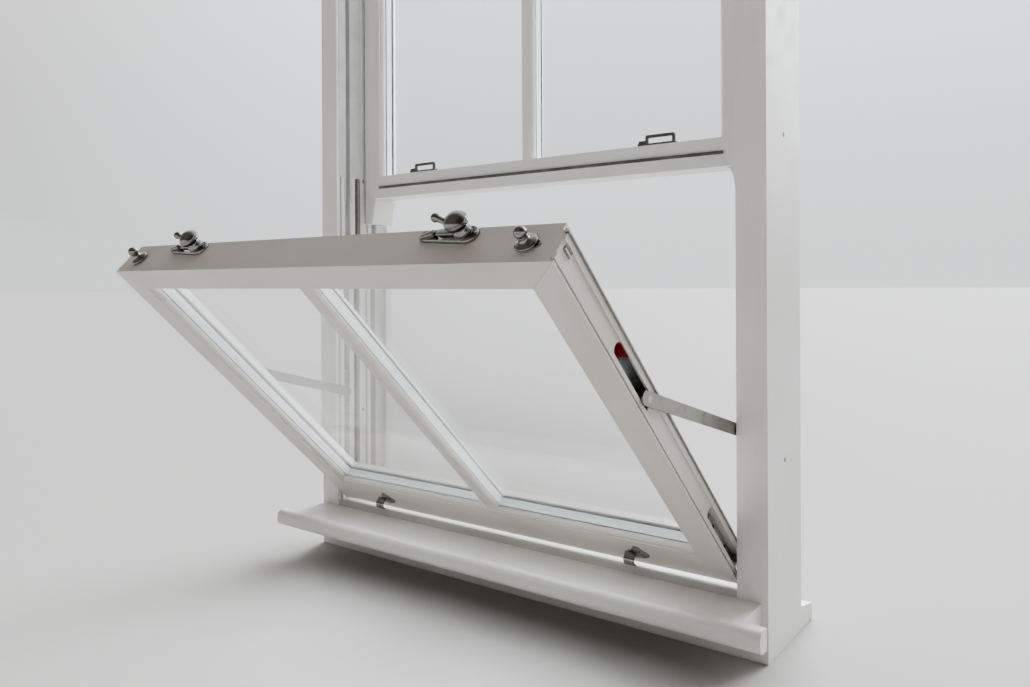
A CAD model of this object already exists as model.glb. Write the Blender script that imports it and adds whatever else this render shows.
import bmesh
import bpy
import math
from mathutils import Matrix, Vector


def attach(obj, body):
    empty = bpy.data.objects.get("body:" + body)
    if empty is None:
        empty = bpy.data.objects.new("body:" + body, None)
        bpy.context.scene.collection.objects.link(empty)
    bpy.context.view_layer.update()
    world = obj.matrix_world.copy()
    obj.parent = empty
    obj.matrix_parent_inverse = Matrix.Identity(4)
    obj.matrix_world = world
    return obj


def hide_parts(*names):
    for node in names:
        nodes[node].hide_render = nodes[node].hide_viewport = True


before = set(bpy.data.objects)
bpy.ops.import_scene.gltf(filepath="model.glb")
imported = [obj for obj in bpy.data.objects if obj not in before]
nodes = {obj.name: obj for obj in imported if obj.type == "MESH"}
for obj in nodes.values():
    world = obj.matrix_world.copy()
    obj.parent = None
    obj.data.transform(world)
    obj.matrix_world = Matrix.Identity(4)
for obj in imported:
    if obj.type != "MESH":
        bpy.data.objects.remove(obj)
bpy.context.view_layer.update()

# Fittings are drawn in millimetres, and placed in metres as the construction is.
MM = 0.001
SIDES = ((1, "right"), (-1, "left"))

# The sashes: half their width, their height, and the corners that their pieces are placed from.
HALF_SASH = 0.350
SASH_HEIGHT = 0.556
TILT = math.radians(46.232)
PIVOT = Vector((0.0, -0.0366, 0.106))
PIVOT_IN_SASH = Vector((0.0, 0.024, 0.010))
LEAN = Matrix.Rotation(TILT, 4, "X")
LOWER_CORNER = PIVOT - LEAN.to_3x3() @ PIVOT_IN_SASH
UPPER_CORNER = Vector((0.0, 0.001, 0.598))

# Turns that point the upright axis of a fitting into the room, or out of a sash's edge.
NO_TURN = Matrix.Identity(4)
TO_ROOM = Matrix.Rotation(math.pi / 2, 4, "X")
OUT_OF_EDGE = {
    "right": Matrix.Rotation(math.pi / 2, 4, "Y"),
    "left": Matrix.Rotation(-math.pi / 2, 4, "Y"),
}


def on_lower_sash(across, depth, height, turn=NO_TURN):
    """A place given across, into and up the lower sash, as it stands tilted."""
    step = Matrix.Translation((across, depth, height))
    return Matrix.Translation(LOWER_CORNER) @ LEAN @ step @ turn


def on_upper_sash(across, depth, height):
    return Matrix.Translation(UPPER_CORNER) @ Matrix.Translation((across, depth, height))


# The camera stands in the room, to the right of the window, as high as the tilted sash's top.
CAMERA_PLACE = (0.7254, -1.0051, 0.4488)
CAMERA_YAW = math.radians(36.573)
CAMERA_ROLL = math.radians(-0.254)
SENSOR_WIDTH = 36.0
LENS = 28.584
LENS_RISE = -0.05881


def place_camera():
    ahead = Vector((-math.sin(CAMERA_YAW), math.cos(CAMERA_YAW), 0.0))
    level = Vector((math.cos(CAMERA_YAW), math.sin(CAMERA_YAW), 0.0))
    up = Vector((0.0, 0.0, 1.0))
    side = level * math.cos(CAMERA_ROLL) + up * math.sin(CAMERA_ROLL)
    top = up * math.cos(CAMERA_ROLL) - level * math.sin(CAMERA_ROLL)
    data = bpy.data.cameras.new("room_camera")
    data.sensor_fit = "HORIZONTAL"
    data.sensor_width = SENSOR_WIDTH
    data.lens = LENS
    data.shift_y = LENS_RISE
    data.clip_start = 0.01
    data.clip_end = 60.0
    camera = bpy.data.objects.new("room_camera", data)
    bpy.context.scene.collection.objects.link(camera)
    turn = Matrix((side, top, -ahead)).transposed()
    camera.matrix_world = Matrix.Translation(CAMERA_PLACE) @ turn.to_4x4()
    bpy.context.scene.camera = camera


place_camera()


# Finishes
class Tree:
    """Adds nodes to a material, a world or a node group, and joins them."""

    def __init__(self, tree):
        self.tree = tree

    def node(self, kind, **settings):
        made = self.tree.nodes.new(kind)
        for name, value in settings.items():
            setattr(made, name, value)
        return made

    def feed(self, socket, value):
        """Sets a plain number or colour on a socket, and joins anything else to it."""
        if isinstance(value, (int, float, tuple)):
            socket.default_value = value
        else:
            self.tree.links.new(value, socket)

    def math(self, operation, a, b=None, c=None, clamp=False):
        made = self.node("ShaderNodeMath", operation=operation, use_clamp=clamp)
        for socket, value in zip(made.inputs, (a, b, c)):
            if value is not None:
                self.feed(socket, value)
        return made.outputs[0]

    def times(self, a, b):
        return self.math("MULTIPLY", a, b)

    def times_plus(self, a, b, c, clamp=False):
        return self.math("MULTIPLY_ADD", a, b, c, clamp)

    def mix(self, share, a, b):
        made = self.node("ShaderNodeMix", data_type="RGBA")
        self.feed(made.inputs["Factor"], share)
        self.feed(made.inputs[6], a)
        self.feed(made.inputs[7], b)
        return made.outputs[2]

    def span(self, value, low, high, to_low=0.0, to_high=1.0):
        """A smooth step of a value between two levels."""
        made = self.node("ShaderNodeMapRange", interpolation_type="SMOOTHSTEP")
        self.feed(made.inputs["Value"], value)
        made.inputs["From Min"].default_value = low
        made.inputs["From Max"].default_value = high
        made.inputs["To Min"].default_value = to_low
        made.inputs["To Max"].default_value = to_high
        return made.outputs["Result"]

    def axes(self, vector):
        made = self.node("ShaderNodeSeparateXYZ")
        self.feed(made.inputs[0], vector)
        return made.outputs

    def scaled(self, vector, size):
        made = self.node("ShaderNodeVectorMath", operation="SCALE")
        self.feed(made.inputs[0], vector)
        self.feed(made.inputs["Scale"], size)
        return made.outputs[0]

    def noise(self, vector, scale, detail=3.0, rough=0.5, distortion=0.0):
        made = self.node("ShaderNodeTexNoise")
        self.feed(made.inputs["Vector"], vector)
        made.inputs["Scale"].default_value = scale
        made.inputs["Detail"].default_value = detail
        made.inputs["Roughness"].default_value = rough
        made.inputs["Distortion"].default_value = distortion
        return made.outputs["Fac"]

    def mapping(self, vector, scale=(1, 1, 1), turn=(0, 0, 0), place=(0, 0, 0), kind="POINT"):
        made = self.node("ShaderNodeMapping", vector_type=kind)
        self.feed(made.inputs["Vector"], vector)
        made.inputs["Location"].default_value = place
        made.inputs["Rotation"].default_value = turn
        made.inputs["Scale"].default_value = scale
        return made.outputs["Vector"]


def start_group(name, outputs, **inputs):
    """A node group of numbers that change over a vector, with its tools and its end nodes."""
    tree = bpy.data.node_groups.new(name, "ShaderNodeTree")
    number = "NodeSocketFloat"
    tree.interface.new_socket(name="Vector", in_out="INPUT", socket_type="NodeSocketVector")
    for label, value in inputs.items():
        socket = tree.interface.new_socket(name=label, in_out="INPUT", socket_type=number)
        socket.default_value = value
    for label in outputs:
        tree.interface.new_socket(name=label, in_out="OUTPUT", socket_type=number)
    t = Tree(tree)
    into = t.node("NodeGroupInput").outputs
    out = t.node("NodeGroupOutput").inputs
    return t, into, out


def make_foil_grain():
    """Fine embossed grain that runs along Z, and a slow change of tone."""
    t, into, out = start_group("foil_grain", ("Height", "Tone"), Fineness=1.0)
    sized = t.scaled(into["Vector"], into["Fineness"])
    long_way = t.mapping(sized, scale=(1, 1, 0.035))
    pores = t.noise(long_way, 900.0, detail=4.0, rough=0.62, distortion=0.15)
    veins = t.noise(long_way, 170.0, rough=0.55, distortion=0.5)
    skin = t.noise(sized, 1500.0, detail=2.0)
    height = t.times_plus(pores, 0.6, t.times(veins, 0.3))
    t.feed(out["Height"], t.times_plus(skin, 0.25, height))
    t.feed(out["Tone"], t.span(t.noise(sized, 6.0, detail=2.0), 0.3, 0.7))
    return t.tree


def make_mitre_lines():
    """The fine welded joints from a sash's corners to its sight lines, as a mask."""
    t, into, out = start_group("mitre_lines", ("Mask",), Height=SASH_HEIGHT, Head=1.0, Foot=1.0)
    place = t.axes(into["Vector"])
    from_edge = t.math("SUBTRACT", HALF_SASH, t.math("ABSOLUTE", place["X"]))
    from_top = t.math("SUBTRACT", into["Height"], place["Z"])
    head = t.math("SUBTRACT", from_top, t.times(from_edge, into["Head"]))
    foot = t.math("SUBTRACT", place["Z"], t.times(from_edge, into["Foot"]))
    nearest = t.math("MINIMUM", t.math("ABSOLUTE", head), t.math("ABSOLUTE", foot))
    line = t.span(nearest, 0.00018, 0.00060, 1.0, 0.0)
    t.feed(out["Mask"], t.times(line, t.math("LESS_THAN", from_edge, 0.045)))
    return t.tree


def make_settled_dust():
    """Dust on faces that look up, patchy and specked, as a mask."""
    t, into, out = start_group("settled_dust", ("Mask",), Amount=0.5)
    facing = t.axes(t.node("ShaderNodeNewGeometry").outputs["True Normal"])
    upward = t.span(facing["Z"], 0.35, 0.95)
    patches = t.span(t.noise(into["Vector"], 22.0, detail=5.0, rough=0.65), 0.35, 0.75)
    specks = t.span(t.noise(into["Vector"], 650.0, detail=2.0, rough=0.6), 0.56, 0.70)
    both = t.math("MAXIMUM", t.times(patches, 0.55), specks)
    t.feed(out["Mask"], t.times(t.times(both, upward), into["Amount"]))
    return t.tree


def make_handling_marks():
    """Finger smears and fine scuffs, as two masks."""
    t, into, out = start_group("handling_marks", ("Smears", "Scuffs"), Scale=1.0)
    sized = t.scaled(into["Vector"], into["Scale"])
    smears = t.noise(sized, 34.0, detail=4.0, rough=0.6, distortion=0.8)
    t.feed(out["Smears"], t.span(smears, 0.42, 0.72))
    stretched = t.mapping(sized, scale=(1.0, 0.12, 0.4), turn=(0.3, 0.5, 0.7))
    t.feed(out["Scuffs"], t.span(t.noise(stretched, 420.0, rough=0.7), 0.60, 0.74))
    return t.tree


def make_brushed_lines():
    """Long fine lines along Z, for drawn or brushed steel, and its stains."""
    t, into, out = start_group("brushed_lines", ("Lines", "Stain"))
    stretched = t.mapping(into["Vector"], scale=(1, 1, 0.012))
    fine = t.noise(stretched, 2600.0, rough=0.6)
    wide = t.noise(stretched, 600.0, detail=2.0)
    t.feed(out["Lines"], t.times_plus(fine, 0.65, t.times(wide, 0.35)))
    stain = t.noise(into["Vector"], 45.0, detail=5.0, rough=0.7)
    t.feed(out["Stain"], t.span(stain, 0.5, 0.78))
    return t.tree


FOIL_GRAIN = make_foil_grain()
MITRE_LINES = make_mitre_lines()
SETTLED_DUST = make_settled_dust()
HANDLING_MARKS = make_handling_marks()
BRUSHED_LINES = make_brushed_lines()

# How a finish is turned and where it starts: its grain runs along Z of the turned coordinates.
ORIGIN = (0.0, 0.0, 0.0)
UPRIGHT = (0.0, 0.0, 0.0)
ACROSS = (0.0, math.pi / 2, 0.0)
WITH_LOWER_SASH = {"turn": (TILT, 0.0, 0.0), "corner": LOWER_CORNER}
WITH_UPPER_SASH = {"turn": UPRIGHT, "corner": UPPER_CORNER}
# The restrictor arms lie from their pins in the jambs up to the sash.
WITH_ARMS = {"turn": (math.radians(74.5), 0.0, 0.0), "corner": (0.0, -0.0366, 0.266)}


class Finish(Tree):
    """A material in the making: its shader, and the coordinates that its patterns follow."""

    def __init__(self, name, turn=UPRIGHT, corner=ORIGIN):
        self.material = bpy.data.materials.new(name)
        self.material.use_nodes = True
        super().__init__(self.material.node_tree)
        self.shader = self.tree.nodes["Principled BSDF"]
        self.plain = self.node("ShaderNodeTexCoord").outputs["Object"]
        self.straight = self.mapping(self.plain, turn=turn, place=tuple(corner), kind="TEXTURE")

    def give(self, label, value):
        self.feed(self.shader.inputs[label], value)

    def use(self, group, vector, **values):
        made = self.node("ShaderNodeGroup", node_tree=group)
        self.feed(made.inputs["Vector"], vector)
        for label, value in values.items():
            made.inputs[label].default_value = value
        return made.outputs

    def bump(self, height, strength, distance):
        made = self.node("ShaderNodeBump")
        made.inputs["Strength"].default_value = strength
        made.inputs["Distance"].default_value = distance
        self.feed(made.inputs["Height"], height)
        self.give("Normal", made.outputs["Normal"])


def foil(name, light, dark, turn=UPRIGHT, corner=ORIGIN, dust=0.25, along_x=False, mitres=None):
    """White uPVC with a satin embossed skin, and the weld lines at a sash's corners."""
    pore_shade = (0.45, 0.42, 0.38, 1)
    scuff_tone = (0.50, 0.48, 0.45, 1)
    dust_tone = (0.52, 0.47, 0.41, 1)
    weld_tone = (0.22, 0.205, 0.19, 1)
    m = Finish(name, turn, corner)
    way = m.mapping(m.straight, turn=ACROSS) if along_x else m.straight
    grain = m.use(FOIL_GRAIN, way, Fineness=1.0)
    marks = m.use(HANDLING_MARKS, m.straight, Scale=1.0)
    dusty = m.use(SETTLED_DUST, m.plain, Amount=dust)["Mask"]
    relief = grain["Height"]
    colour = m.mix(grain["Tone"], light, dark)
    colour = m.mix(m.times(m.span(relief, 0.35, 0.8), 0.10), colour, pore_shade)
    colour = m.mix(m.times(marks["Scuffs"], 0.08), colour, scuff_tone)
    colour = m.mix(dusty, colour, dust_tone)
    if mitres:
        height, head, foot = mitres
        weld = m.use(MITRE_LINES, m.straight, Height=height, Head=head, Foot=foot)["Mask"]
        colour = m.mix(m.times(weld, 0.5), colour, weld_tone)
        relief = m.times_plus(weld, -2.0, relief)
    m.give("Base Color", colour)
    rough = m.times_plus(marks["Smears"], 0.10, 0.42)
    m.give("Roughness", m.times_plus(dusty, 0.3, rough, clamp=True))
    m.give("Specular IOR Level", 0.45)
    m.bump(relief, strength=0.22, distance=0.00035)
    return m.material


def board_paint(name):
    """Satin paint on the window board, with brush marks along it."""
    light = (0.83, 0.81, 0.78, 1)
    dark = (0.79, 0.765, 0.73, 1)
    scuff_tone = (0.6, 0.57, 0.53, 1)
    dust_tone = (0.55, 0.50, 0.45, 1)
    m = Finish(name)
    strokes = m.noise(m.mapping(m.straight, scale=(0.02, 1, 1)), 420.0, detail=4.0, rough=0.6)
    marks = m.use(HANDLING_MARKS, m.straight, Scale=0.8)
    dusty = m.use(SETTLED_DUST, m.plain, Amount=0.35)["Mask"]
    colour = m.mix(m.span(m.noise(m.straight, 5.0, detail=2.0), 0.3, 0.7), light, dark)
    colour = m.mix(m.times(marks["Scuffs"], 0.15), colour, scuff_tone)
    m.give("Base Color", m.mix(dusty, colour, dust_tone))
    rough = m.times_plus(marks["Smears"], 0.12, 0.36)
    m.give("Roughness", m.times_plus(dusty, 0.3, rough, clamp=True))
    m.bump(strokes, strength=0.18, distance=0.0004)
    return m.material


def pile(name, light, dark):
    """Short brush pile: fibres that stand across the strip, in tufts."""
    m = Finish(name)
    fibres = m.noise(m.mapping(m.straight, scale=(0.06, 0.5, 1.0)), 1800.0, rough=0.7)
    tufts = m.noise(m.straight, 260.0, rough=0.6)
    colour = m.mix(m.span(fibres, 0.3, 0.7), light, dark)
    m.give("Base Color", m.mix(m.times(m.span(tufts, 0.4, 0.7), 0.4), colour, dark))
    m.give("Roughness", 0.95)
    m.give("Sheen Weight", 0.4)
    m.bump(m.times_plus(fibres, 0.7, m.times(tufts, 0.3)), strength=0.9, distance=0.0008)
    return m.material


def gasket(name, turn, corner):
    """Glazing gasket: a pale strip on the room side, and a dark one on the outer side."""
    m = Finish(name, turn, corner)
    outer = m.span(m.axes(m.straight)["Y"], 0.018, 0.022)
    skin = m.noise(m.straight, 1200.0, rough=0.6)
    slow = m.span(m.noise(m.straight, 40.0), 0.35, 0.7)
    pale = m.mix(slow, (0.60, 0.60, 0.585, 1), (0.50, 0.50, 0.49, 1))
    black = m.mix(slow, (0.060, 0.060, 0.062, 1), (0.035, 0.035, 0.036, 1))
    m.give("Base Color", m.mix(outer, pale, black))
    m.give("Roughness", m.times_plus(slow, 0.15, 0.5))
    m.bump(skin, strength=0.2, distance=0.0002)
    return m.material


def steel(name, light, dark, rough, turn=UPRIGHT, corner=ORIGIN):
    """Zinc-plated or brushed steel, with stains and finger smears."""
    m = Finish(name, turn, corner)
    brushed = m.use(BRUSHED_LINES, m.straight)
    marks = m.use(HANDLING_MARKS, m.straight, Scale=1.6)
    colour = m.mix(brushed["Stain"], light, dark)
    m.give("Base Color", m.mix(m.times(brushed["Lines"], 0.25), colour, dark))
    stained = m.times_plus(brushed["Stain"], 0.16, rough)
    m.give("Roughness", m.times_plus(marks["Smears"], 0.12, stained, clamp=True))
    m.give("Metallic", 1.0)
    m.bump(brushed["Lines"], strength=0.12, distance=0.0002)
    return m.material


def chrome(name):
    """Polished chrome on cast fittings, with finger smears and a slight orange peel."""
    m = Finish(name)
    marks = m.use(HANDLING_MARKS, m.straight, Scale=2.2)
    peel = m.noise(m.straight, 240.0, detail=2.0)
    m.give("Base Color", m.mix(marks["Smears"], (0.31, 0.305, 0.30, 1), (0.22, 0.215, 0.21, 1)))
    rough = m.times_plus(marks["Smears"], 0.10, 0.07)
    m.give("Roughness", m.times_plus(marks["Scuffs"], 0.12, rough))
    m.give("Metallic", 1.0)
    m.bump(peel, strength=0.10, distance=0.0004)
    return m.material


def plastic(name, light, dark, rough):
    """Moulded plastic or rubber with a fine sparked skin."""
    m = Finish(name)
    marks = m.use(HANDLING_MARKS, m.straight, Scale=1.8)
    skin = m.noise(m.straight, 1400.0, rough=0.6)
    colour = m.mix(m.span(m.noise(m.straight, 30.0), 0.35, 0.7), light, dark)
    m.give("Base Color", m.mix(m.times(marks["Scuffs"], 0.2), colour, dark))
    m.give("Roughness", m.times_plus(marks["Smears"], 0.14, rough, clamp=True))
    m.bump(skin, strength=0.2, distance=0.0002)
    return m.material


def spacer_bar(name, turn, corner):
    """White spacer between the panes, with rows of fine breathing holes."""
    m = Finish(name, turn, corner)
    skin = m.noise(m.straight, 900.0, rough=0.6)
    dots = m.node("ShaderNodeTexVoronoi", feature="F1")
    m.feed(dots.inputs["Vector"], m.straight)
    dots.inputs["Scale"].default_value = 420.0
    dots.inputs["Randomness"].default_value = 0.0
    holes = m.span(dots.outputs["Distance"], 0.18, 0.26, 1.0, 0.0)
    m.give("Base Color", m.mix(m.times(holes, 0.55), (0.86, 0.90, 0.91, 1), (0.30, 0.33, 0.34, 1)))
    m.give("Roughness", m.times_plus(skin, 0.2, 0.35))
    m.bump(m.times_plus(holes, -1.0, skin), strength=0.15, distance=0.0003)
    return m.material


def clear_glass(name):
    """Float glass with a faint film of wipe marks."""
    m = Finish(name)
    film = m.use(HANDLING_MARKS, m.straight, Scale=0.35)
    wave = m.noise(m.straight, 3.0, detail=1.0)
    m.give("Base Color", m.mix(wave, (0.985, 0.995, 0.99, 1), (0.975, 0.99, 0.985, 1)))
    m.give("Roughness", m.times(film["Smears"], 0.012))
    m.give("Metallic", 0.0)
    m.give("Transmission Weight", 1.0)
    m.give("IOR", 1.5)
    return m.material


SASH_WHITE = ((0.70, 0.66, 0.62, 1), (0.655, 0.615, 0.575, 1))
FRAME_WHITE = ((0.87, 0.865, 0.85, 1), (0.83, 0.82, 0.80, 1))
SILL_WHITE = ((0.60, 0.58, 0.555, 1), (0.50, 0.48, 0.455, 1))
COVER_WHITE = ((0.66, 0.66, 0.65, 1), (0.58, 0.58, 0.57, 1))
BRUSH_GREY = ((0.42, 0.41, 0.40, 1), (0.16, 0.155, 0.15, 1))
SEAL_BLACK = ((0.16, 0.155, 0.15, 1), (0.09, 0.088, 0.085, 1))
SHOE_GREY = ((0.30, 0.30, 0.31, 1), (0.22, 0.22, 0.23, 1))
CAP_RED = ((0.27, 0.010, 0.012, 1), (0.18, 0.007, 0.009, 1))
CAST_ZINC = ((0.50, 0.50, 0.49, 1), (0.30, 0.29, 0.28, 1))
PIVOT_ZINC = ((0.40, 0.415, 0.41, 1), (0.24, 0.25, 0.25, 1))
BLACK_STEEL = ((0.06, 0.06, 0.06, 1), (0.025, 0.025, 0.025, 1))
TUBE_STEEL = ((0.55, 0.55, 0.54, 1), (0.36, 0.35, 0.34, 1))
ARM_STEEL = ((0.33, 0.315, 0.30, 1), (0.20, 0.19, 0.18, 1))

# The height of a sash, and how steeply its welds run at the head and at the foot.
LOWER_MITRES = (SASH_HEIGHT, 33.0 / 36.0, 56.0 / 36.0)
UPPER_MITRES = (SASH_HEIGHT, 1.0, 9.0)
LOWER_FOIL = {**WITH_LOWER_SASH, "mitres": LOWER_MITRES}
UPPER_FOIL = {**WITH_UPPER_SASH, "mitres": UPPER_MITRES}

FINISHES = {
    "sash_up": foil("sash_foil_up", *SASH_WHITE, **LOWER_FOIL),
    "sash_level": foil("sash_foil_level", *SASH_WHITE, **LOWER_FOIL, along_x=True),
    "sash_bar": foil("sash_foil_bar", *SASH_WHITE, **WITH_LOWER_SASH),
    "upper_up": foil("upper_foil_up", *FRAME_WHITE, **UPPER_FOIL),
    "upper_level": foil("upper_foil_level", *FRAME_WHITE, **UPPER_FOIL, along_x=True),
    "upper_bar": foil("upper_foil_bar", *FRAME_WHITE, **WITH_UPPER_SASH),
    "frame_up": foil("frame_foil_up", *FRAME_WHITE),
    "frame_level": foil("frame_foil_level", *FRAME_WHITE, along_x=True, dust=0.45),
    "sill": foil("sill_foil", *SILL_WHITE, along_x=True, dust=0.8),
    "cover": plastic("track_cover_plastic", *COVER_WHITE, rough=0.36),
    "board": board_paint("satin_board_paint"),
    "brush": pile("brush_pile_grey", *BRUSH_GREY),
    "seal": plastic("meeting_seal_rubber", *SEAL_BLACK, rough=0.6),
    "gasket": gasket("gasket_rubber", **WITH_LOWER_SASH),
    "upper_gasket": gasket("upper_gasket_rubber", **WITH_UPPER_SASH),
    "spacer": spacer_bar("spacer_white", **WITH_LOWER_SASH),
    "upper_spacer": spacer_bar("upper_spacer_white", **WITH_UPPER_SASH),
    "glass": clear_glass("float_glass"),
    "shoe": plastic("shoe_nylon", *SHOE_GREY, rough=0.45),
    "red": plastic("red_cap", *CAP_RED, rough=0.38),
    "chrome": chrome("polished_chrome"),
    "zinc": steel("cast_zinc", *CAST_ZINC, rough=0.38),
    "pivot": steel("pivot_steel", *PIVOT_ZINC, rough=0.34, **WITH_LOWER_SASH),
    "dark_screw": steel("blackened_steel", *BLACK_STEEL, rough=0.32),
    "balance": steel("balance_steel", *TUBE_STEEL, rough=0.30),
    "arm": steel("arm_steel", *ARM_STEEL, rough=0.30, **WITH_ARMS),
}

WORN_BY = {
    "sash_up": ("lower_sash_left_stile", "lower_sash_right_stile"),
    "sash_level": ("lower_sash_top_rail", "lower_sash_bottom_rail"),
    "sash_bar": ("lower_sash_glazing_bars",),
    "upper_up": ("upper_sash_left_stile", "upper_sash_right_stile"),
    "upper_level": ("upper_sash_top_rail", "upper_sash_meeting_rail"),
    "upper_bar": ("upper_sash_glazing_bars",),
    "frame_up": ("left_jamb", "right_jamb"),
    "frame_level": ("frame_head", "outer_sill"),
    "sill": ("frame_sill",),
    "cover": ("inner_track_cover_left", "inner_track_cover_right"),
    "board": ("window_board",),
    "brush": ("frame_brush_seals", "lower_sash_edge_seals", "upper_sash_edge_seals"),
    "seal": ("meeting_rail_seal",),
    "gasket": ("lower_sash_gaskets",),
    "upper_gasket": ("upper_sash_gaskets",),
    "spacer": ("lower_sash_spacer",),
    "upper_spacer": ("upper_sash_spacer",),
    "glass": ("lower_sash_panes", "upper_sash_panes"),
    "shoe": ("pivot_shoe_left", "pivot_shoe_right", "arm_carrier_left", "arm_carrier_right",
             "upper_balance_shoes"),
    "red": ("arm_track_caps",),
    "chrome": ("catch_base_left", "catch_base_right", "catch_lever_left", "catch_lever_right",
               "catch_keep_left", "catch_keep_right", "sash_lift_left", "sash_lift_right",
               "latch_knob_left", "latch_knob_right", "latch_plate_left", "latch_plate_right"),
    "zinc": ("latch_bolt_left", "latch_bolt_right"),
    "pivot": ("lower_pivot_bars", "upper_pivot_bars", "arm_tracks"),
    "balance": ("lower_balance_rods", "lower_balance_tubes",
                "upper_balance_rods", "upper_balance_tubes"),
    "arm": ("restrictor_arm_left", "restrictor_arm_right"),
}


def dress(node, material):
    node.data.materials.clear()
    node.data.materials.append(material)
    for face in node.data.polygons:
        face.material_index = 0


for finish, names in WORN_BY.items():
    for name in names:
        dress(nodes[name], FINISHES[finish])

# Daylight comes in through the panes.
for name in WORN_BY["glass"]:
    nodes[name].visible_shadow = False


# Tools for the fittings: each is drawn at the origin in millimetres, then set in its place.
def select_only(*pieces):
    bpy.ops.object.select_all(action="DESELECT")
    for piece in pieces:
        piece.select_set(True)
    bpy.context.view_layer.objects.active = pieces[0]


def apply_place():
    bpy.ops.object.transform_apply(location=True, rotation=True, scale=True)


def to_edit():
    bpy.ops.object.mode_set(mode="EDIT")
    bpy.ops.mesh.select_mode(type="VERT")
    bpy.ops.mesh.select_all(action="DESELECT")


def to_object():
    bpy.ops.object.mode_set(mode="OBJECT")


def pick_all():
    bpy.ops.mesh.select_all(action="SELECT")


def pick(kind, test):
    """In edit mode, selects each vertex, edge or face that passes a test of it and its middle."""
    bpy.ops.mesh.select_all(action="DESELECT")
    bpy.ops.mesh.select_mode(type=kind)
    net = bmesh.from_edit_mesh(bpy.context.object.data)
    rows = {"VERT": net.verts, "EDGE": net.edges, "FACE": net.faces}[kind]
    for item in rows:
        points = [item.co] if kind == "VERT" else [corner.co for corner in item.verts]
        middle = sum(points, Vector()) / len(points) / MM
        if test(item, middle):
            item.select_set(True)
    bmesh.update_edit_mesh(bpy.context.object.data)


def extrude(x, y, z):
    step = (x * MM, y * MM, z * MM)
    bpy.ops.mesh.extrude_region_move(TRANSFORM_OT_translate={"value": step})


def shift(x, y, z):
    bpy.ops.transform.translate(value=(x * MM, y * MM, z * MM))


def narrow(x, y, z, about=ORIGIN):
    bpy.ops.transform.resize(value=(x, y, z), center_override=about)


def round_edges(width, segments):
    bpy.ops.mesh.bevel(offset=width * MM, segments=segments, affect="EDGES")


def face_outwards():
    pick_all()
    bpy.ops.mesh.normals_make_consistent(inside=False)


def drawn(name, points):
    """Starts a piece as a line through (x, y, z) points, and leaves it in edit mode."""
    bpy.ops.object.select_all(action="DESELECT")
    start = [value * MM for value in points[0]]
    bpy.ops.mesh.primitive_plane_add(size=MM, location=start)
    piece = bpy.context.object
    piece.name = name
    apply_place()
    to_edit()
    pick_all()
    bpy.ops.mesh.merge(type="CENTER")
    for (x0, y0, z0), (x1, y1, z1) in zip(points, points[1:]):
        extrude(x1 - x0, y1 - y0, z1 - z0)
    pick_all()
    return piece


def turned(name, profile, steps):
    """A piece turned on a lathe from (radius, height) points, spun about Z."""
    piece = drawn(name, [(radius, 0, height) for radius, height in profile])
    bpy.ops.mesh.spin(steps=steps, angle=2 * math.pi, center=ORIGIN, axis=(0, 0, 1), dupli=False)
    pick_all()
    bpy.ops.mesh.remove_doubles(threshold=1e-6)
    face_outwards()
    to_object()
    return piece


def outlined(name, outline, thick, soften):
    """A plate drawn as an outline of (across, height) points, with its front edges rounded."""
    plate = drawn(name, [(across, 0, height) for across, height in outline])
    bpy.ops.mesh.edge_face_add()
    extrude(0, -thick, 0)
    face_outwards()
    front = -0.9 * thick * MM
    pick("EDGE", lambda item, middle: all(corner.co.y < front for corner in item.verts))
    round_edges(soften, 3)
    to_object()
    return plate


def bar(name, low, high):
    """A plain block between two corners, to be shaped further."""
    bpy.ops.object.select_all(action="DESELECT")
    size = [(b - a) * MM for a, b in zip(low, high)]
    middle = [(a + b) / 2 * MM for a, b in zip(low, high)]
    bpy.ops.mesh.primitive_cube_add(size=1.0, location=middle, scale=size)
    piece = bpy.context.object
    piece.name = name
    apply_place()
    return piece


def arc(centre_across, centre_up, radius, start, end, count):
    """Points of a rounded part of a profile, between two angles in degrees."""
    turns = [math.radians(start + (end - start) * step / count) for step in range(count + 1)]
    return [(centre_across + radius * math.cos(a), centre_up + radius * math.sin(a)) for a in turns]


def joined(name, *parts):
    select_only(*parts)
    bpy.ops.object.join()
    piece = bpy.context.object
    piece.name = name
    piece.data.name = name
    return piece


def smooth(piece, angle):
    select_only(piece)
    bpy.ops.object.shade_smooth_by_angle(angle=math.radians(angle))


def use_modifier(piece, kind, **settings):
    select_only(piece)
    made = piece.modifiers.new(kind.lower(), kind)
    for label, value in settings.items():
        setattr(made, label, value)
    bpy.ops.object.modifier_apply(modifier=made.name)


def cut_by(piece, cutter):
    use_modifier(piece, "BOOLEAN", object=cutter, operation="DIFFERENCE", solver="EXACT")
    bpy.data.objects.remove(cutter, do_unlink=True)


def placed(piece, place):
    """Sets a piece in its place, with the place kept in its mesh."""
    select_only(piece)
    piece.matrix_world = place
    apply_place()
    return piece


def finish_piece(piece, finish, body, slot, *stands_for):
    piece.data.materials.clear()
    piece.data.materials.append(FINISHES[finish])
    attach(piece, body)
    if stands_for:
        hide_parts(*stands_for)


def fit(model, name, place, finish, body, slot, *stands_for):
    """Fits a copy of a model, with its own mesh, in its place."""
    select_only(model)
    bpy.ops.object.duplicate(linked=False)
    piece = bpy.context.object
    piece.name = name
    piece.data.name = name
    placed(piece, place)
    finish_piece(piece, finish, body, slot, *stands_for)


def fit_chrome(model, name, place, body, *stands_for):
    fit(model, name, place, "chrome", body, "chrome_fittings", *stands_for)


def put_away(*models):
    for model in models:
        bpy.data.objects.remove(model, do_unlink=True)


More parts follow.
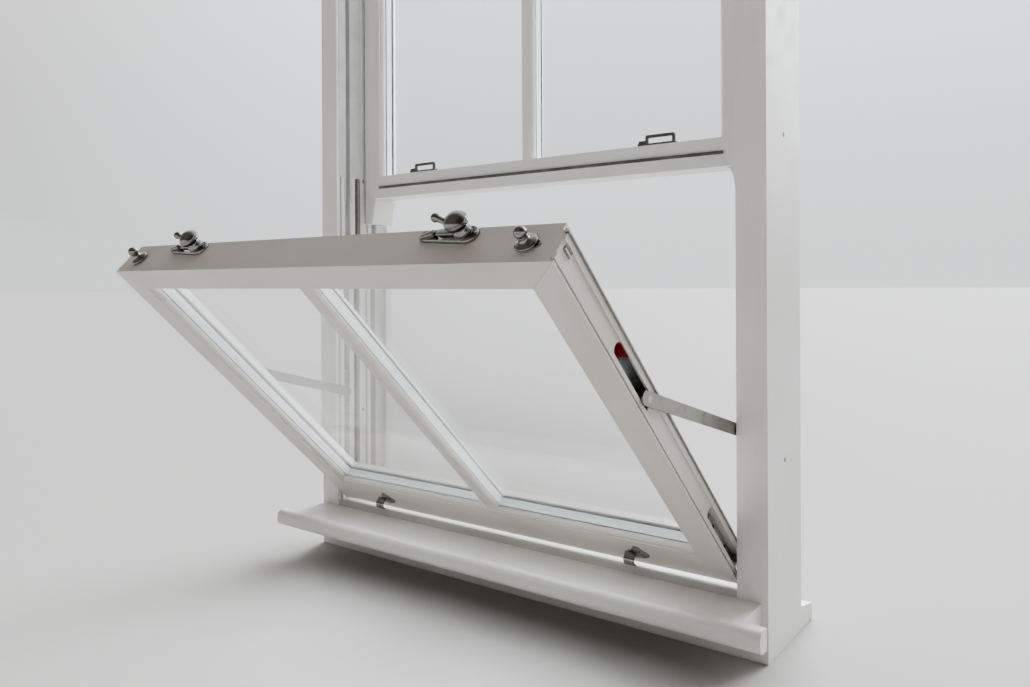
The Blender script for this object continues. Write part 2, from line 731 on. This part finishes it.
def screw_head(name, radius):
    """A raised countersunk screw head with a cross recess, its rim near height 0."""
    rim = 0.12
    drop = radius * 1.6
    reach = radius * 0.62
    half = radius * 0.13
    side = [(0, -0.5), (radius * 0.9, -0.5), (radius, -0.1), (radius, rim)]
    dome = arc(0, rim - drop, math.hypot(radius, drop), 58, 90, 5)
    head = turned(name, side + dome[1:], 28)
    across = bar("recess_across", (-reach, -half, 0.05), (reach, half, 3))
    along = bar("recess_along", (-half, -reach, 0.05), (half, reach, 3))
    cut_by(head, across)
    cut_by(head, along)
    smooth(head, 30)
    return head


# Models of the catch and the knob have the top of the sash's rail at height 0.
def catch_base():
    """A cast base: a narrow tail with a raised ridge, and a broad round end under the stem."""
    bpy.ops.object.select_all(action="DESELECT")
    bpy.ops.mesh.primitive_circle_add(vertices=48, radius=11 * MM, fill_type="NGON",
                                      location=ORIGIN)
    plate = bpy.context.object
    apply_place()
    to_edit()
    pick("VERT", lambda item, middle: middle.x > -0.1)
    shift(25, 0, 0)
    pick("VERT", lambda item, middle: middle.x <= -0.1)
    narrow(0.62, 0.62, 1)
    shift(-28.8, 0, 0)
    pick_all()
    extrude(0, 0, 2.4)
    pick("FACE", lambda item, middle: item.normal.z > 0.9 and middle.z > 2)
    for inwards, upwards in ((0.5, 0.9), (0.7, 0.5), (1.1, -0.5)):
        bpy.ops.mesh.inset(thickness=inwards * MM, depth=upwards * MM)
    face_outwards()
    to_object()
    ridge = bar("catch_ridge", (-33, -3.6, 2), (-12.8, 3.6, 10.4))
    to_edit()
    pick("VERT", lambda item, middle: middle.x < -20 and middle.z > 5)
    shift(3.0, 0, -3.0)
    pick("VERT", lambda item, middle: middle.x < -20)
    narrow(1, 0.78, 1)
    pick("EDGE", lambda item, middle: middle.z > 2.5)
    round_edges(2.1, 5)
    to_object()
    placed(ridge, Matrix.Rotation(math.radians(7.0), 4, "Z"))
    collar = [(9.6, 2.5), (9.6, 3.9), (9.2, 4.4), (8.4, 4.8), (0, 4.8)]
    step = placed(turned("catch_step", collar, 40), Matrix.Translation((20 * MM, 0, 0)))
    base = joined("catch_base_model", plate, ridge, step)
    smooth(base, 35)
    return base


def catch_lever():
    """The cam arm, its stem, the mushroom dome and the thumb piece with its ball."""
    stem = [(0, 5.1), (9.6, 5.1), (9.6, 8.4), (9.0, 9.6), (8.3, 10.6), (8.0, 12.0), (8.3, 13.4),
            (9.4, 14.4), (11.0, 15.0)]
    dome = arc(8.6, 18.4, 3.6, -75, 25, 7) + arc(0, 13.8, 14.2, 31, 90, 9)
    cap = turned("catch_dome", stem + dome, 48)
    arm = bar("catch_arm", (-32, -5.6, 5.1), (0, 5.6, 9.3))
    to_edit()
    pick("VERT", lambda item, middle: middle.x < -20)
    narrow(1, 0.72, 1)
    pick("VERT", lambda item, middle: middle.x < -20 and middle.z > 7.5)
    shift(0, 0, -1.4)
    pick("EDGE", lambda item, middle: middle.z > 6 or middle.x < -30)
    round_edges(1.9, 5)
    to_object()
    run = 23.0
    rise = 9.5
    length = math.hypot(run, rise)
    handle = [(0, -1), (4.8, -1), (4.6, 3), (4.2, 8), (3.6, 13), (3.2, 16), (3.1, 18),
              (3.4, length - 4.2)]
    thumb = turned("catch_thumb", handle + arc(0, length, 4.7, -42, 90, 10), 32)
    lean = Matrix.Rotation(-math.atan2(run, rise), 4, "Y")
    swing = Matrix.Rotation(math.radians(-9.0), 4, "Z")
    placed(thumb, swing @ Matrix.Translation((-3 * MM, 0, 12 * MM)) @ lean)
    lever = joined("catch_lever_model", cap, arm, thumb)
    smooth(lever, 40)
    return lever


def latch_knob():
    """The flange, neck and ball that draw the tilt latch."""
    flange = [(0, 1.5), (10.6, 1.5), (11.3, 1.9), (11.5, 2.6), (11.1, 3.5), (9.9, 4.3), (8.0, 4.9),
              (6.4, 5.6)]
    neck = [(5.2, 6.7), (4.7, 8.0), (4.6, 9.2), (4.9, 9.9)]
    knob = turned("latch_knob_model", flange + neck + arc(0, 14.5, 6.2, -42, 90, 12), 44)
    smooth(knob, 40)
    return knob


def keep_foot():
    """The raised end of a keep, where its screw is, drawn up from the upper sash's foot."""
    foot = bar("keep_foot_model", (-5.9, 0.1, 38.5), (6.3, 7.8, 44.9))
    to_edit()
    pick("VERT", lambda item, middle: middle.z > 42 and middle.x < 0)
    shift(1.6, 0, 0)
    pick("EDGE", lambda item, middle: middle.z > 40)
    round_edges(1.0, 4)
    to_object()
    smooth(foot, 40)
    return foot


# Where the catches, knobs and their screws are, across and into the rails and above them
CATCH_ACROSS = 0.216
CATCH_DEPTH = 0.036
LEVER_AXIS = 0.020
KNOB_ACROSS = 0.314
KNOB_DEPTH = 0.0215
CATCH_SCREWS = (("tail", -0.0322), ("end", 0.0325))
CATCH_SCREW_RISE = 0.0034
KEEP_SCREW_DEPTH = 0.0040
KEEP_SCREW_RISE = 0.0447


def fit_catches():
    """Catches and latch knobs on the lower sash's top rail, and their keeps on the upper sash."""
    base = catch_base()
    lever = catch_lever()
    knob = latch_knob()
    screw = screw_head("base_screw_model", 2.7)
    foot = keep_foot()
    for side, name in SIDES:
        across = side * CATCH_ACROSS
        place = on_lower_sash(across, CATCH_DEPTH, SASH_HEIGHT)
        fit_chrome(base, "catch_base_cast_" + name, place, "lower_sash", "catch_base_" + name)
        place = on_lower_sash(across + LEVER_AXIS, CATCH_DEPTH, SASH_HEIGHT)
        body = "catch_lever_" + name
        fit_chrome(lever, "catch_lever_cast_" + name, place, body, "catch_lever_" + name)
        place = on_lower_sash(side * KNOB_ACROSS, KNOB_DEPTH, SASH_HEIGHT)
        body = "tilt_latch_" + name
        fit_chrome(knob, "latch_knob_turned_" + name, place, body, "latch_knob_" + name)
        for label, shifted in CATCH_SCREWS:
            place = on_lower_sash(across + shifted, CATCH_DEPTH, SASH_HEIGHT + CATCH_SCREW_RISE)
            fit_chrome(screw, "catch_screw_" + label + "_" + name, place, "lower_sash")
        keep = across - LEVER_AXIS
        fit_chrome(foot, "keep_foot_" + name, on_upper_sash(keep, 0, 0), "upper_sash")
        place = on_upper_sash(keep, KEEP_SCREW_DEPTH, KEEP_SCREW_RISE)
        fit_chrome(screw, "keep_screw_" + name, place, "upper_sash")
    put_away(base, lever, knob, screw, foot)


# A lift's place along the bottom rail, and its screws, across and up in millimetres
LIFT_ACROSS = 0.227
LIFT_OFF_CENTRE = 0.0035
LIFT_SCREWS = (("top", 2.5, 38.9), ("side", 10.6, 27.4))
LIFT_SCREW_OUT = -0.0028


def sash_lift():
    """A lift: a plate with a high lobe and a low tail, two ringed screws, and a curled tab."""
    lobe = arc(2.5, 39.2, 5.8, 160, 20, 7)
    tail = arc(9.5, 26.6, 6.8, 30, -75, 7)
    foot = arc(-10.5, 17.5, 6.0, 280, 180, 6)
    outline = lobe + [(9.6, 36.6), (12.6, 33.4)] + tail + [(4.0, 17.2), (-2.0, 13.6)] + foot
    outline += [(-16.5, 25.0), (-14.0, 29.4), (-6.6, 34.0)]
    plate = outlined("lift_plate", outline, 2.6, 0.8)
    tab_left = -16
    tab_wide = 16
    curl = [(-1.5, 29.6), (-4.6, 29.9)] + arc(-8.4, 23.2, 6.7, 86, 222, 12)
    tab = drawn("lift_tab", [(tab_left, depth, height) for depth, height in curl])
    extrude(tab_wide, 0, 0)
    to_object()
    use_modifier(tab, "SOLIDIFY", thickness=2.4 * MM, offset=0.0)
    use_modifier(tab, "BEVEL", width=0.9 * MM, segments=3, limit_method="ANGLE",
                 angle_limit=math.radians(50))
    to_edit()
    face_outwards()
    to_object()
    section = [(3.1, 2.0), (3.1, 3.0), (3.5, 3.5), (4.2, 3.6), (4.8, 3.2), (5.0, 2.0), (3.1, 2.0)]
    rings = []
    for label, across, height in LIFT_SCREWS:
        place = Matrix.Translation((across * MM, 0, height * MM)) @ TO_ROOM
        rings.append(placed(turned("screw_ring_" + label, section, 28), place))
    lift = joined("sash_lift_model", plate, tab, *rings)
    smooth(lift, 40)
    return lift


def fit_lifts():
    lift = sash_lift()
    screw = screw_head("lift_screw_model", 2.9)
    for side, name in SIDES:
        middle = side * LIFT_ACROSS - LIFT_OFF_CENTRE
        place = on_lower_sash(middle, 0, 0)
        fit_chrome(lift, "sash_lift_cast_" + name, place, "lower_sash", "sash_lift_" + name)
        for label, across, height in LIFT_SCREWS:
            place = on_lower_sash(middle + across * MM, LIFT_SCREW_OUT, height * MM, TO_ROOM)
            fit_chrome(screw, "lift_screw_" + label + "_" + name, place, "lower_sash")
    put_away(lift, screw)


# The pivot plates' screws, across and up the sash, and their line in its edge
PIVOT_SCREWS = (("low", 0.3421, 0.052), ("middle", 0.3421, 0.098), ("high", 0.3382, 0.1275))
PIVOT_SCREW_DEPTH = 0.0185


def fit_pivot_screws():
    screw = screw_head("pivot_screw_model", 3.6)
    for side, name in SIDES:
        turn = OUT_OF_EDGE[name]
        for label, across, height in PIVOT_SCREWS:
            place = on_lower_sash(side * across, PIVOT_SCREW_DEPTH, height, turn)
            title = "pivot_screw_" + label + "_" + name
            fit(screw, title, place, "dark_screw", "lower_sash", "pivot_zinc")
    put_away(screw)


# The brush strips in the lower sash's outer edges, and the tufts that repeat up them
BRISTLE_DEPTH = 0.0350
TUFT_STEP = 0.0014
TUFT_COUNT = 395
TUFT_MIDDLE = 0.00095


def fit_bristles():
    """Tufts of the brush strips down the outer edges of the lower sash."""
    for side, name in SIDES:
        tuft = bar("edge_bristles_" + name, (346.2, 33.9, 0.4), (351.6, 36.1, 1.5))
        to_edit()
        pick("VERT", lambda item, middle: middle.x > 350)
        narrow(1, 0.5, 0.55, about=(HALF_SASH, BRISTLE_DEPTH, TUFT_MIDDLE))
        to_object()
        use_modifier(tuft, "ARRAY", fit_type="FIXED_COUNT", count=TUFT_COUNT,
                     use_relative_offset=False, use_constant_offset=True,
                     constant_offset_displace=(0, 0, TUFT_STEP))
        if side < 0:
            back = Matrix.Translation((0, -2 * BRISTLE_DEPTH, 0))
            placed(tuft, Matrix.Rotation(math.pi, 4, "Z") @ back)
        placed(tuft, on_lower_sash(0, 0, 0))
        finish_piece(tuft, "brush", "lower_sash", "brush")


# The arms' rivets: across to the arm's outer face, and into and up the sash to the sliding pin
RIVET_ACROSS = 0.3528
RIVET_DEPTH = 0.0195
RIVET_HEIGHT = 0.344


def fit_arm_rivets():
    """The closed heads of the arms' pins, seen on the faces towards the jambs."""
    section = [(0, -0.4), (3.7, -0.4), (3.7, 0.04), (3.4, 0.16), (2.6, 0.22), (0, 0.25)]
    rivet = turned("arm_rivet_model", section, 28)
    smooth(rivet, 40)
    for side, name in SIDES:
        place = on_lower_sash(side * RIVET_ACROSS, RIVET_DEPTH, RIVET_HEIGHT, OUT_OF_EDGE[name])
        fit(rivet, "arm_rivet_" + name, place, "balance", "restrictor_arm_" + name, "arm_steel")
    put_away(rivet)


fit_catches()
fit_lifts()
fit_pivot_screws()
fit_bristles()
fit_arm_rivets()


# Floor, backdrop and studio light
FLOOR_RADIUS = 60.0
FLOOR_TONE = (0.47, 0.455, 0.44, 1)
ROOM_TONE = (0.66, 0.60, 0.545, 1)
SKY_TONE = (0.93, 0.96, 1.0, 1)
HORIZON_TONE = (0.92, 0.935, 0.95, 1)
DAYLIGHT_FROM = Vector((-0.1, 2.5, 1.9))
DAYLIGHT_TO = Vector((0.0, 0.0, 0.5))
DAYLIGHT_SPREAD = math.radians(50.0)
DAYLIGHT_STRENGTH = 7.5
DAYLIGHT_TINT = (0.93, 0.97, 1.0)


def plain_stage():
    """A wide pale floor, just under the sill, which meets the pale sky far behind the window."""
    floor_paint = bpy.data.materials.new("pale_floor")
    floor_paint.use_nodes = True
    shader = floor_paint.node_tree.nodes["Principled BSDF"]
    shader.inputs["Base Color"].default_value = FLOOR_TONE
    shader.inputs["Roughness"].default_value = 0.85
    bpy.ops.object.select_all(action="DESELECT")
    bpy.ops.mesh.primitive_circle_add(vertices=96, radius=FLOOR_RADIUS, fill_type="NGON",
                                      location=(0, 0, -0.0005))
    floor = bpy.context.object
    floor.name = "stage_floor"
    apply_place()
    floor.data.materials.append(floor_paint)


def sky_all_round():
    """A bright sky behind the window, a dim warm room before it, and a pale horizon."""
    world = bpy.data.worlds.new("soft_room")
    bpy.context.scene.world = world
    world.use_nodes = True
    t = Tree(world.node_tree)
    back = world.node_tree.nodes["Background"]
    way = t.axes(t.node("ShaderNodeTexCoord").outputs["Generated"])
    outdoors = t.span(way["Y"], -0.35, 0.75)
    upwards = t.span(way["Z"], 0.02, 0.75)
    horizon = t.span(way["Z"], 0.04, 0.22, 1.0, 0.0)
    sky = t.mix(outdoors, ROOM_TONE, SKY_TONE)
    t.feed(back.inputs["Color"], t.mix(t.times(horizon, 0.8), sky, HORIZON_TONE))
    low = t.span(way["Y"], -0.35, 0.75, 0.34, 1.05)
    low = t.times(low, t.span(way["X"], 0.0, 0.8, 1.0, 0.35))
    low = t.math("MAXIMUM", low, t.times(horizon, 0.95))
    t.feed(back.inputs["Strength"], t.times_plus(t.times(upwards, outdoors), 1.0, low))


def daylight():
    """Even light from the sky behind the window, too wide to leave a hard shadow."""
    data = bpy.data.lights.new("sky_behind", "SUN")
    data.angle = DAYLIGHT_SPREAD
    data.energy = DAYLIGHT_STRENGTH
    data.color = DAYLIGHT_TINT
    light = bpy.data.objects.new("sky_behind", data)
    bpy.context.scene.collection.objects.link(light)
    turn = (DAYLIGHT_TO - DAYLIGHT_FROM).to_track_quat("-Z", "Y").to_matrix().to_4x4()
    light.matrix_world = Matrix.Translation(DAYLIGHT_FROM) @ turn
    # The disc of the light isn't seen, not through the panes either.
    light.visible_camera = False
    light.visible_transmission = False


plain_stage()
sky_all_round()
daylight()
bpy.context.scene.view_settings.look = "AgX - Medium High Contrast"
